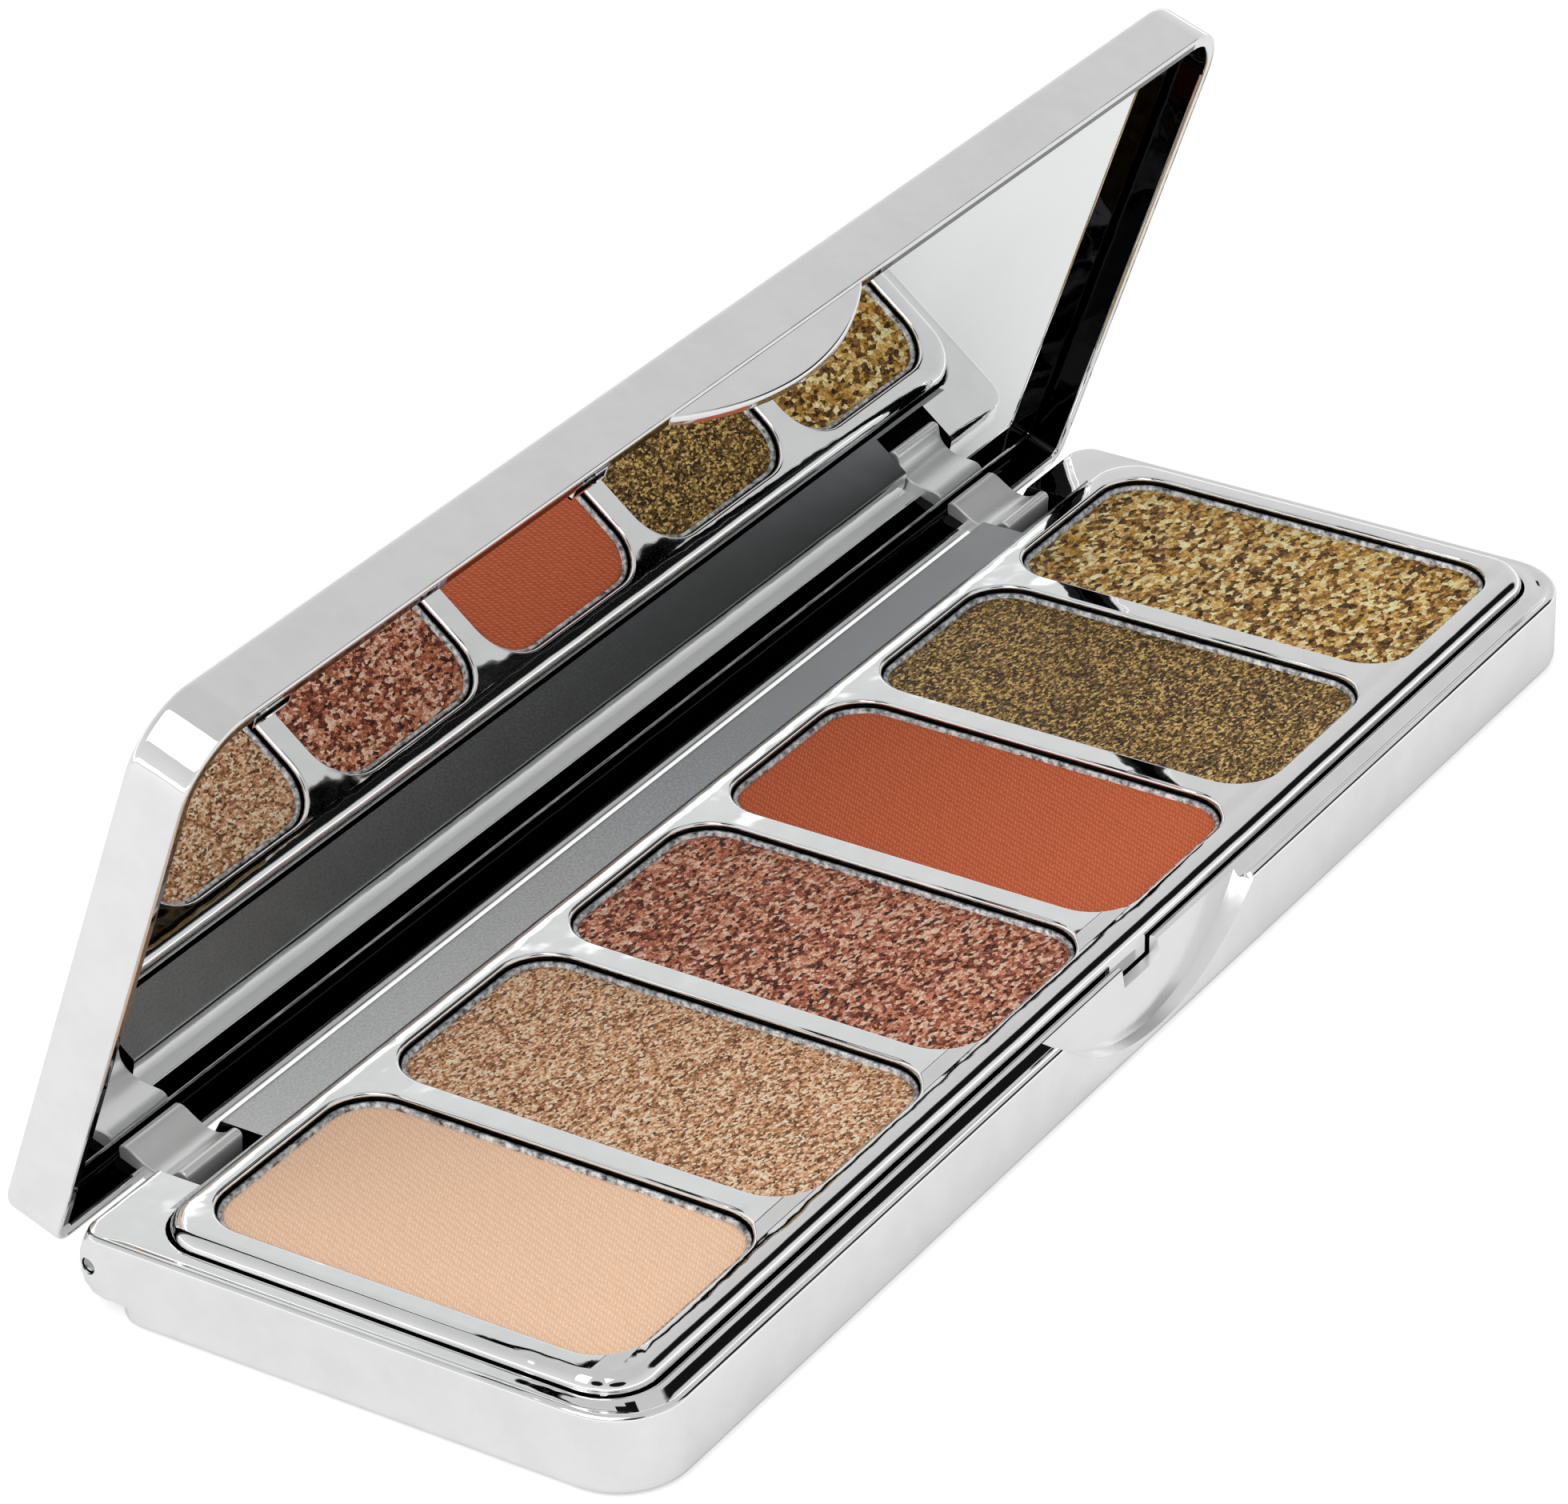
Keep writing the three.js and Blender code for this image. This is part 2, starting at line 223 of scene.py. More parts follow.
def addNode(tree, kind, settings=None, links=None):
    node = tree.nodes.new(kind)
    for key, value in (settings or {}).items():
        if isinstance(key, int) or key in node.inputs:
            node.inputs[key].default_value = value
        else:
            setattr(node, key, value)
    for key, source in (links or {}).items():
        tree.links.new(source, node.inputs[key])
    return node


def startMaterial(name):
    material = bpy.data.materials.new(name)
    material.use_nodes = True
    tree = material.node_tree
    tree.nodes.clear()
    shader = addNode(tree, "ShaderNodeBsdfPrincipled")
    addNode(tree, "ShaderNodeOutputMaterial", links={"Surface": shader.outputs[0]})
    coordinates = addNode(tree, "ShaderNodeTexCoord").outputs["Object"]
    inMillimetres = addNode(
        tree, "ShaderNodeVectorMath", {"operation": "SCALE", "Scale": 1 / mm}, {0: coordinates},
    ).outputs[0]
    return material, tree, shader, inMillimetres


def fillRamp(ramp, stops):
    elements = ramp.color_ramp.elements
    while len(elements) > 1:
        elements.remove(elements[-1])
    elements[0].position, elements[0].color = stops[0][0], hexColour(stops[0][1])
    for position, code in stops[1:]:
        elements.new(position).color = hexColour(code)


# what the plating shows: its own tones, the near-black painted shade, the paler painted light, and the
# frosted band with painted shade towards +X
chromeLook = {
    "bright": "#f2f2f2", "dullAndPaintedLight": "#ededed", "paintedShade": "#19191a", "paintedLight": "#f7f7f7",
    "frostLeft": "#cccccc", "frostRight": "#8b8c8e", "frostHalf": 62.0,
    "roughness": 0.04, "roughnessSpread": (0.8, 1.25), "frostRoughness": 0.32, "paintedLightMetal": 0.5,
    "hazeSize": 4.0, "grainsPerMm": 4.5, "grainShare": 0.8, "waveSize": 8.0, "waveTilt": 0.02,
}


def makeChrome(name, step=None):
    # bright chrome on moulded ABS: a mirror finish over slightly wavy plastic, so reflections swim;
    # painted shade (near black) on the walls of recesses and inside the lid, a frosted band behind the tray
    # with painted shade darkening it towards +X, and painted light (paler, duller plating) on the lugs, the
    # thumb notch and the catch slot
    material, tree, shader, point = startMaterial(name)
    finishAndPaintedLight = addNode(tree, "ShaderNodeAttribute", {"attribute_name": "finishAndPaintedLight"}).outputs["Color"]
    # red is painted shade, near black; green the frosted band; blue painted light, paler and duller plating
    paintedShade, frosted, dullAndPaintedLight = addNode(tree, "ShaderNodeSeparateColor", links={"Color": finishAndPaintedLight}).outputs
    haze = addNode(tree, "ShaderNodeTexNoise", {
        "Scale": 1 / chromeLook["hazeSize"], "Detail": 6.0, "Roughness": 0.6,
    }, {"Vector": point})
    film = addNode(tree, "ShaderNodeValToRGB", links={"Fac": haze.outputs[0]})
    fillRamp(film, [(0.35, chromeLook["dullAndPaintedLight"]), (0.6, chromeLook["bright"])])
    place = addNode(tree, "ShaderNodeSeparateXYZ", links={0: point})
    grain = addNode(tree, "ShaderNodeTexNoise", {
        "Scale": chromeLook["grainsPerMm"], "Detail": 4.0,
    }, {"Vector": point})
    # painted shade: the frosted band darkens from -X to +X
    paintedShadeToRight = addNode(tree, "ShaderNodeMapRange", {
        "From Min": -chromeLook["frostHalf"], "From Max": chromeLook["frostHalf"],
    }, {"Value": place.outputs[0]})
    grainAndPaintedShade = addNode(tree, "ShaderNodeMath", {
        "operation": "MULTIPLY_ADD", 1: chromeLook["grainShare"],
    }, {0: grain.outputs[0], 2: paintedShadeToRight.outputs[0]})
    frostWithPaintedShade = addNode(tree, "ShaderNodeValToRGB", links={"Fac": grainAndPaintedShade.outputs[0]})
    fillRamp(frostWithPaintedShade, [(0.3, chromeLook["frostLeft"]), (1.0, chromeLook["frostRight"])])
    tint = film.outputs[0]
    for share, colour in (
        (frosted, frostWithPaintedShade.outputs[0]),
        (dullAndPaintedLight, hexColour(chromeLook["paintedLight"])),
        (paintedShade, hexColour(chromeLook["paintedShade"])),
    ):
        mixed = addNode(tree, "ShaderNodeMix", {"data_type": "RGBA"}, {0: share, 6: tint})
        if isinstance(colour, tuple):
            mixed.inputs[7].default_value = colour
        else:
            tree.links.new(colour, mixed.inputs[7])
        tint = mixed.outputs[2]
    tree.links.new(tint, shader.inputs["Base Color"])
    metal = addNode(tree, "ShaderNodeMapRange", {"To Min": 1.0, "To Max": chromeLook["paintedLightMetal"]}, {
        "Value": dullAndPaintedLight,
    })
    tree.links.new(metal.outputs[0], shader.inputs["Metallic"])
    smoothest, roughest = (chromeLook["roughness"] * share for share in chromeLook["roughnessSpread"])
    spread = addNode(tree, "ShaderNodeMapRange", {"To Min": smoothest, "To Max": roughest}, {
        "Value": haze.outputs[0],
    })
    dullest = addNode(tree, "ShaderNodeMath", {"operation": "MAXIMUM"}, {0: frosted, 1: dullAndPaintedLight})
    rough = addNode(tree, "ShaderNodeMix", {"data_type": "FLOAT", "B": chromeLook["frostRoughness"]}, {
        "Factor": dullest.outputs[0], "A": spread.outputs[0],
    })
    tree.links.new(rough.outputs[0], shader.inputs["Roughness"])
    wave = addNode(tree, "ShaderNodeTexNoise", {"Scale": 1 / chromeLook["waveSize"], "Detail": 2.5}, {
        "Vector": point,
    })
    bump = addNode(tree, "ShaderNodeBump", {
        "Strength": 1.0, "Distance": chromeLook["waveTilt"] * chromeLook["waveSize"] * mm,
    }, {"Height": wave.outputs[0]})
    if step:
        # the band in front of the wells lies a little lower than the ribs between them
        ledge = addNode(tree, "ShaderNodeMapRange", {
            "interpolation_type": "SMOOTHSTEP", "From Min": step["from"], "From Max": step["to"],
        }, {"Value": place.outputs[1]})
        bump = addNode(tree, "ShaderNodeBump", {"Strength": 1.0, "Distance": step["depth"] * mm}, {
            "Height": ledge.outputs[0], "Normal": bump.outputs[0],
        })
    tree.links.new(bump.outputs[0], shader.inputs["Normal"])
    return material


panMetalLook = {
    "roughness": 0.32, "grainsPerMm": 1.7, "nickDepth": 0.12,
    # the tones' dark and white ends are painted shade and glints on the crimp
    "tones": [(0.36, "#4a4b4e"), (0.48, "#b4b6b8"), (0.6, "#f8f8f8")],
}


def makePanMetal():
    # thin stamped aluminium, crimped by hand press: dull silver with its crimp as bumps, and dark and
    # bright flecks from the same noise painted on as shade and glints
    material, tree, shader, point = startMaterial("stampedAluminium")
    shader.inputs["Metallic"].default_value = 1.0
    shader.inputs["Roughness"].default_value = panMetalLook["roughness"]
    grain = addNode(tree, "ShaderNodeTexNoise", {
        "Scale": panMetalLook["grainsPerMm"], "Detail": 8.0, "Roughness": 0.7,
    }, {"Vector": point})
    ramp = addNode(tree, "ShaderNodeValToRGB", links={"Fac": grain.outputs[0]})
    fillRamp(ramp, panMetalLook["tones"])
    tree.links.new(ramp.outputs[0], shader.inputs["Base Color"])
    bump = addNode(tree, "ShaderNodeBump", {
        "Strength": 1.0, "Distance": panMetalLook["nickDepth"] * mm,
    }, {"Height": grain.outputs[0]})
    tree.links.new(bump.outputs[0], shader.inputs["Normal"])
    return material


def makeMirrorGlass():
    # back-silvered glass: a clean reflection, a touch lighter than what it shows
    material, tree, shader, point = startMaterial("silveredGlass")
    shader.inputs["Metallic"].default_value = 1.0
    film = addNode(tree, "ShaderNodeTexNoise", {"Scale": 0.05, "Detail": 2.0}, {"Vector": point})
    ramp = addNode(tree, "ShaderNodeValToRGB", links={"Fac": film.outputs[0]})
    fillRamp(ramp, [(0.3, "#f4f6f6"), (0.7, "#fafbfb")])
    tree.links.new(ramp.outputs[0], shader.inputs["Base Color"])
    shader.inputs["Roughness"].default_value = 0.0
    return material


def makePinSteel():
    # drawn steel wire: fine scratches along the pin
    material, tree, shader, point = startMaterial("drawnSteel")
    shader.inputs["Metallic"].default_value = 1.0
    shader.inputs["Base Color"].default_value = hexColour("#a3a5a8")
    stretched = addNode(tree, "ShaderNodeMapping", {"Scale": (0.2, 8.0, 8.0)}, {"Vector": point})
    lines = addNode(tree, "ShaderNodeTexNoise", {"Scale": 1.0}, {"Vector": stretched.outputs[0]})
    spread = addNode(tree, "ShaderNodeMapRange", {"To Min": 0.18, "To Max": 0.4}, {
        "Value": lines.outputs[0],
    })
    tree.links.new(spread.outputs[0], shader.inputs["Roughness"])
    return material


def makeAdhesive():
    # hot-melt glue and foam tape: milky and slightly lumpy
    material, tree, shader, point = startMaterial("meltGlue")
    lumps = addNode(tree, "ShaderNodeTexNoise", {"Scale": 0.8, "Detail": 3.0}, {"Vector": point})
    ramp = addNode(tree, "ShaderNodeValToRGB", links={"Fac": lumps.outputs[0]})
    fillRamp(ramp, [(0.3, "#d9d4c6"), (0.7, "#eeeade")])
    tree.links.new(ramp.outputs[0], shader.inputs["Base Color"])
    shader.inputs["Roughness"].default_value = 0.55
    return material


# Pressed powders, in the order of their pans from the -X end.
# The weave and flakes are drawn coarser than real ones, because finer ones don't show.
# flake tones run from painted shade in the pits to a painted glint; matte tones from painted shade in the
# weave's grooves to its raised parts
powderLooks = [
    {"name": "peachMatte", "kind": "matte", "tones": ["#edc09f", "#f9d0b0", "#ffdec2"]},
    {"name": "champagneShimmer", "kind": "flakes", "cell": 0.21, "tilt": 0.3,
     "tones": ["#56331c", "#b87d53", "#f7bc8b", "#fff7db"]},
    {"name": "roseCopperGlitter", "kind": "flakes", "cell": 0.3, "tilt": 0.5,
     "tones": ["#280c06", "#8a422b", "#df855c", "#ffe2c6"]},
    {"name": "burntOrangeMatte", "kind": "matte", "tones": ["#b75837", "#cb6744", "#dc7855"]},
    {"name": "oliveBronzeShimmer", "kind": "flakes", "cell": 0.21, "tilt": 0.3,
     "tones": ["#0e0600", "#52360d", "#936b23", "#f7d07b"]},
    {"name": "antiqueGoldGlitter", "kind": "flakes", "cell": 0.44, "tilt": 0.55,
     "tones": ["#2d1801", "#8c5e18", "#dea941", "#fff9c1"]},
]
# flakes lie a little along the pressing stroke
flakeGrain = {"turn": 17.0, "stretch": 0.62, "fineShare": 0.3, "finePerFlake": 2.2, "relief": 0.06}
weave = {"turn": 64.0, "spacing": 0.26, "crossSpacing": 0.4, "relief": 0.05, "grainsPerMm": 3.5}


def makeMattePowder(look):
    # talc-based matte powder pressed under cloth: no gloss, and the cloth's diagonal weave, with painted
    # shade in its grooves: the tone runs from dark where the weave lies low to light where it stands up
    material, tree, shader, point = startMaterial(look["name"])
    turned = addNode(tree, "ShaderNodeMapping", {"Rotation": (0, 0, radians(weave["turn"]))}, {
        "Vector": point,
    })
    threads = []
    for direction, spacing in (("X", weave["spacing"]), ("DIAGONAL", weave["crossSpacing"])):
        threads.append(addNode(tree, "ShaderNodeTexWave", {
            "wave_type": "BANDS", "bands_direction": direction, "Scale": pi / 10 / spacing,
            "Distortion": 3.0, "Detail": 2.0, "Detail Scale": 1.5,
        }, {"Vector": turned.outputs[0]}))
    cloth = addNode(tree, "ShaderNodeMath", {"operation": "MULTIPLY"}, {
        0: threads[0].outputs["Fac"], 1: threads[1].outputs["Fac"],
    })
    grain = addNode(tree, "ShaderNodeTexNoise", {
        "Scale": weave["grainsPerMm"], "Detail": 5.0, "Roughness": 0.65,
    }, {"Vector": point})
    height = addNode(tree, "ShaderNodeMath", {"operation": "ADD"}, {
        0: cloth.outputs[0], 1: grain.outputs[0],
    })
    spread = addNode(tree, "ShaderNodeMapRange", {"From Min": 0.35, "From Max": 1.25}, {
        "Value": height.outputs[0],
    })
    # painted shade: the darkest tone falls where the weave lies low, the lightest where it stands up
    ramp = addNode(tree, "ShaderNodeValToRGB", links={"Fac": spread.outputs[0]})
    paintedShade, middle, light = look["tones"]
    fillRamp(ramp, [(0.0, paintedShade), (0.5, middle), (1.0, light)])
    tree.links.new(ramp.outputs[0], shader.inputs["Base Color"])
    shader.inputs["Roughness"].default_value = 0.92
    shader.inputs["Specular IOR Level"].default_value = 0.15
    bump = addNode(tree, "ShaderNodeBump", {"Strength": 0.7, "Distance": weave["relief"] * mm}, {
        "Height": height.outputs[0],
    })
    tree.links.new(bump.outputs[0], shader.inputs["Normal"])
    return material


def makeFlakePowder(look):
    # mica and glitter pressed in a binder: each flake lies at its own tilt and catches its own light; its
    # tone, set at random per flake, runs from painted shade in the pits to a painted glint
    material, tree, shader, point = startMaterial(look["name"])
    combed = addNode(tree, "ShaderNodeMapping", {
        "Rotation": (0, 0, radians(flakeGrain["turn"])), "Scale": (flakeGrain["stretch"], 1.0, 1.0),
    }, {"Vector": point})
    wobble = addNode(tree, "ShaderNodeTexNoise", {"Scale": 1.3 / look["cell"]}, {"Vector": point})
    pushed = addNode(tree, "ShaderNodeVectorMath", {
        "operation": "MULTIPLY_ADD", 1: (look["cell"] * 0.8,) * 3,
    }, {0: wobble.outputs["Color"], 2: combed.outputs[0]})
    flakes = addNode(tree, "ShaderNodeTexVoronoi", {"Scale": 1 / look["cell"]}, {
        "Vector": pushed.outputs[0],
    })
    fine = addNode(tree, "ShaderNodeTexVoronoi", {
        "Scale": flakeGrain["finePerFlake"] / look["cell"],
    }, {"Vector": pushed.outputs[0]})
    parts = addNode(tree, "ShaderNodeSeparateColor", links={"Color": flakes.outputs["Color"]})
    fineParts = addNode(tree, "ShaderNodeSeparateColor", links={"Color": fine.outputs["Color"]})
    value = addNode(tree, "ShaderNodeMix", {
        "data_type": "FLOAT", "Factor": flakeGrain["fineShare"],
    }, {"A": parts.outputs[0], "B": fineParts.outputs[0]})
    ramp = addNode(tree, "ShaderNodeValToRGB", links={"Fac": value.outputs[0]})
    paintedPitShade, low, middle, paintedGlint = look["tones"]
    fillRamp(ramp, [(0.15, paintedPitShade), (0.38, low), (0.62, middle), (0.85, paintedGlint)])
    tree.links.new(ramp.outputs[0], shader.inputs["Base Color"])
    shader.inputs["Metallic"].default_value = 0.45
    shader.inputs["Roughness"].default_value = 0.42
    normal = addNode(tree, "ShaderNodeNewGeometry").outputs["Normal"]
    centred = addNode(tree, "ShaderNodeVectorMath", {"operation": "SUBTRACT", 1: (0.5,) * 3}, {
        0: flakes.outputs["Color"],
    })
    tilted = addNode(tree, "ShaderNodeVectorMath", {
        "operation": "MULTIPLY_ADD", 1: (look["tilt"],) * 3,
    }, {0: centred.outputs[0], 2: normal})
    level = addNode(tree, "ShaderNodeVectorMath", {"operation": "NORMALIZE"}, {0: tilted.outputs[0]})
    bump = addNode(tree, "ShaderNodeBump", {"Strength": 0.5, "Distance": flakeGrain["relief"] * mm}, {
        "Height": fineParts.outputs[1], "Normal": level.outputs[0],
    })
    tree.links.new(bump.outputs[0], shader.inputs["Normal"])
    return material


chrome = makeChrome("chromePlatedAbs")
wellFront = boxOf("pan_1")[0].y
trayStep = {"from": wellFront - 0.2, "to": wellFront + 1.4, "depth": 0.3}
trayChrome = makeChrome("chromePlatedAbsTray", trayStep)
panMetal = makePanMetal()
mirrorGlass = makeMirrorGlass()
pinSteel = makePinSteel()
adhesive = makeAdhesive()
powderMaterials = [
    makeMattePowder(look) if look["kind"] == "matte" else makeFlakePowder(look)
    for look in powderLooks
]
print("materials made")


def place(obj, body, material, slotName, *nodes):
    obj.data.materials.clear()
    obj.data.materials.append(material)
    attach(obj, body)
    if nodes:
        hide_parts(*nodes)


trayLow, trayHigh = boxOf("pan_tray")
case = {
    "frontRadius": 6.0, "rearRadius": 2.0, "clearance": 0.01, "floor": 1.0, "gap": 0.22,
    "trayRadius": 4.5, "edge": 0.12,
    "slotWidth": 8.0, "slotFront": hingeY - 3.4,
    # the notch's last entry sets how much painted light, paler and duller plating, its scoop gets
    "notchWidth": 31.4, "notchDrop": 6.0, "notchDepth": 2.0, "notchFoot": 1.1, "notchPaintedLight": 0.55,
    "catchWidth": 5.7, "catchDrop": 1.75, "catchFront": 0.9, "catchDepth": 0.95,
    "boreRadius": 0.7,
    # the rim's dip: how much smaller at the ends and past the notch, and its slow waves
    "endShare": 0.2, "pastShare": 0.4, "swell": (1.1, 0.5, 0.2), "waveHeight": 0.14, "waveSpan": 2.7,
}
reach = 1.0   # how far a cutter stands out past what it cuts


def crescentPoints(width, drop, chordZ, rise, y, steps=40):
    # hanging circular segment in the plane of y, with its chord raised by rise
    half = width / 2
    radius = (half * half + drop * drop) / (2 * drop)
    sweep = asin(half / radius)
    arc = [
        Vector((radius * sin(a), y, chordZ - drop + radius - radius * cos(a)))
        for a in (-sweep + 2 * sweep * k / steps for k in range(steps + 1))
    ]
    return [Vector((-half, y, chordZ + rise))] + arc + [Vector((half, y, chordZ + rise))]


def blockCutter(name, low, high):
    bm = bmesh.new()
    corners = [(low[0], low[1]), (high[0], low[1]), (high[0], high[1]), (low[0], high[1])]
    addSlab(bm, [Vector((x, y, low[2])) for x, y in corners], Vector((0, 0, high[2] - low[2])))
    return makeObject(name, bm)


def makeCase():
    x0, x1, y0 = baseLow.x + case["clearance"], baseHigh.x - case["clearance"], baseLow.y
    top, back = baseHigh.z, baseHigh.y
    front, rear = case["frontRadius"], case["rearRadius"]
    # height, inset, how far the back lies in from its furthest line
    skin = [
        (0.0, 1.1, 5.1), (0.1, 0.5, 4.5), (0.35, 0.18, 4.15), (0.8, 0.0, 4.0), (1.76, 0.0, 3.9),
        (1.84, 0.0, 1.3), (2.02, 0.0, 0.75), (2.5, 0.0, 0.3), (3.3, 0.0, 0.05), (4.1, 0.0, 0.0),
        (5.0, 0.0, 0.1), (5.8, 0.0, 0.35), (6.4, 0.0, 0.65),
        (top - 0.42, 0.0, 0.8), (top - 0.22, 0.06, 0.9), (top - 0.08, 0.2, 1.0), (top - 0.02, 0.38, 1.1),
    ]
    loops = [
        outline(x0, x1, y0, back - rise + inset, front, rear, inset, z) for z, inset, rise in skin
    ]
    gap = case["gap"]
    halfTray = trayHigh.x
    cavity = outline(
        trayLow.x - gap, trayHigh.x + gap, trayLow.y - gap, trayHigh.y + gap,
        case["trayRadius"] + gap, case["trayRadius"] + gap,
    )
    rimEdge = loops[-1]
    atLeft, fade, pastNotch = case["swell"]
    halfNotch = case["notchWidth"] / 2
    # the rim dips behind its outer edge and rises to a bead beside the tray, but lies flat at the rear
    for share, drop in (
        (0.08, 0.02), (0.16, 0.28), (0.24, 0.55), (0.32, 0.7), (0.4, 0.7), (0.5, 0.52), (0.6, 0.32),
        (0.7, 0.12), (0.78, 0.02), (0.88, 0.0), (0.94, 0.03), (0.98, 0.12),
    ):
        ring = between(rimEdge, cavity, share, top)
        for point in ring:
            level = 1 - shareOf(point.y, 4, 16)
            ends = 1 - (1 - case["endShare"]) * shareOf(abs(point.x), halfTray - 1, halfTray + 0.5)
            past = shareOf(point.x, halfNotch, halfNotch + 3)
            swell = atLeft - fade * (1 - past) * (1 - point.x / x0) - pastNotch * past
            swell += case["waveHeight"] * sin(point.x / case["waveSpan"])
            right = 1 - (1 - case["pastShare"]) * past
            point.z = top - drop * level * ends * swell * right - 0.02
        loops.append(ring)
    for z in (top - 0.35, case["floor"]):
        loops.append(between(cavity, cavity, 0, z))
    bm = bmesh.new()
    addLoft(bm, loops)
    shell = makeObject("caseShell", bm)

    slotHalf = case["slotWidth"] / 2
    cutters = []
    for side in (-1, 1):
        middle = side * lugCentreX
        cutters.append(blockCutter(
            "lugSlot", (middle - slotHalf, case["slotFront"], -reach),
            (middle + slotHalf, baseHigh.y + reach, top + reach),
        ))
        pinLow, pinHigh = boxOf("hinge_pin_left" if side < 0 else "hinge_pin_right")
        ring = [
            Vector((side * (baseHigh.x + reach), hingeY + case["boreRadius"] * cos(a),
                    hingeZ + case["boreRadius"] * sin(a)))
            for a in (2 * pi * k / 24 for k in range(24))
        ]
        bm = bmesh.new()
        depth = baseHigh.x + reach - min(abs(pinLow.x), abs(pinHigh.x))
        addSlab(bm, ring, Vector((-side * depth, 0, 0)))
        cutters.append(makeObject("pinBore", bm))
    bm = bmesh.new()
    outer = crescentPoints(case["notchWidth"], case["notchDrop"], top, reach, y0 - reach)
    slope = (case["notchDepth"] - case["notchFoot"]) / case["notchDrop"]
    wall = [Vector((p.x, y0 + case["notchDepth"] + (p.z - top) * slope, p.z)) for p in outer]
    addLoft(bm, [outer, wall])
    cutters.append(makeObject("thumbNotch", bm))
    inner = y0 + case["notchDepth"]
    cutters.append(blockCutter(
        "catchSlot", (-case["catchWidth"] / 2, inner - case["catchFront"], top - case["catchDrop"]),
        (case["catchWidth"] / 2, inner + case["catchDepth"], top + reach),
    ))
    cutAway(shell, cutters)
    softenEdges(shell, case["edge"])
    bakeModifiers(shell)
    slotInner, slotOuter = lugCentreX - slotHalf, lugCentreX + slotHalf
    near = 0.05   # a face this close to a wall's plane belongs to it

    # painted shade, near black, on the walls of the tray's cavity and the lug slots; the frosted band
    # behind the tray; painted light, paler and duller plating, in the thumb notch's scoop and on the catch
    # slot's walls
    def finishAndPaintedLight(centre, normal):
        x, y, z = abs(centre.x), centre.y, centre.z
        inCavity = x < trayHigh.x + gap + near and trayLow.y - gap - near < y < trayHigh.y + gap + near
        inSlot = slotInner - near < x < slotOuter + near and y > case["slotFront"] - near
        paintedShade = 1.0 if (inCavity or inSlot) and z < top - 0.2 and normal.y > -0.9 else 0.0
        frosted = 1.0 if y > trayHigh.y + gap and x < slotInner and normal.z > 0.7 else 0.0
        inNotch = x < halfNotch + 0.1 and y0 + 0.05 < y < y0 + case["notchDepth"] + 0.1
        scoopPaintedLight = case["notchPaintedLight"] if inNotch and top - case["notchDrop"] - 0.1 < z < top - 0.1 else 0.0
        inCatch = x < case["catchWidth"] and y < trayLow.y - gap - 0.1 and y > y0 + case["notchFoot"]
        return paintedShade, frosted, 1.0 if inCatch and z < top - 0.2 and abs(normal.y) < 0.9 else scoopPaintedLight

    paintFinishAndPaintedLight(shell, finishAndPaintedLight)
    evenShading(shell)
    return shell


place(makeCase(), "base", chrome, "chrome_plated_plastic", "base_shell")
print("case made")

tray = {"edge": 1.3, "wellRadius": 4.3, "wellGap": 0.1, "wellBelowPan": 0.2, "lip": 0.3}


def edgeArc(radius, steps=5):
    # (inset, drop) pairs of a quarter round, from the wall to the flat
    return [
        (radius * (1 - cos(pi / 2 * k / steps)), radius * (1 - sin(pi / 2 * k / steps)))
        for k in range(steps + 1)
    ]


def fillFlat(bm, rings):
    # fills the flat face between an outer ring and the rings inside it
    edges = []
    for ring in rings:
        for k in range(len(ring)):
            edges.append(bm.edges.get((ring[k], ring[(k + 1) % len(ring)])))
    bmesh.ops.triangle_fill(bm, edges=edges, use_beauty=True, use_dissolve=False)


def makeTray():
    low, high = trayLow, trayHigh
    radius, top = case["trayRadius"], high.z
    bm = bmesh.new()
    loops = [outline(low.x, high.x, low.y, high.y, radius, radius, 0, low.z)]
    for inset, drop in edgeArc(tray["edge"]):
        loops.append(outline(low.x, high.x, low.y, high.y, radius, radius, inset, top - drop))
    topRings = [addLoft(bm, loops, capEnd=False)[-1]]
    for index in range(6):
        panLow, panHigh = boxOf(f"pan_{index + 1}")
        gap = tray["wellGap"]
        sizes = (panLow.x - gap, panHigh.x + gap, panLow.y - gap, panHigh.y + gap)
        corner = tray["wellRadius"]
        wells = [outline(*sizes, corner, corner, 0, panLow.z - tray["wellBelowPan"])]
        for inset, drop in edgeArc(tray["lip"]):
            wells.append(outline(*sizes, corner, corner, -inset, top - drop))
        topRings.append(addLoft(bm, wells, capEnd=False)[-1])
    fillFlat(bm, topRings)
    obj = makeObject("panTray", bm)
    wellTop = top - tray["lip"]
    # painted shade: the well walls below the lip are painted near black
    paintFinishAndPaintedLight(obj, lambda centre, normal: (
        1.0 if centre.z < wellTop
        and depthIn(centre, low.x, high.x, low.y, high.y, radius, radius) > 0.5 else 0.0, 0.0, 0.0,
    ))
    evenShading(obj)
    return obj


place(makeTray(), "base", trayChrome, "chrome_plated_plastic", "pan_tray")
print("tray made")

pan = {"radius": 4.2, "rim": 0.46, "underPowder": 0.9, "sunk": 0.35}
powder = {"radius": 3.8}


def makePan(index):
    low, high = boxOf(f"pan_{index + 1}")
    powderHigh = boxOf(f"powder_{index + 1}")[1]
    bm = bmesh.new()
    r = pan["radius"]
    # the wall rises to a crimped rim, which rolls over and dips to the powder
    profile = [(0.0, low.z), (0.0, high.z - 0.12), (0.04, high.z - 0.04), (0.13, high.z),
               (0.3, high.z - 0.01), (0.42, high.z - 0.08), (pan["rim"], powderHigh.z - 0.1)]
    loops = [outline(low.x, high.x, low.y, high.y, r, r, inset, z) for inset, z in profile]
    floorHeight = powderHigh.z - pan["sunk"]
    loops.append(outline(low.x, high.x, low.y, high.y, r, r, pan["underPowder"], floorHeight))
    addLoft(bm, loops)
    return makeObject(f"pan{index + 1}", bm, 60)


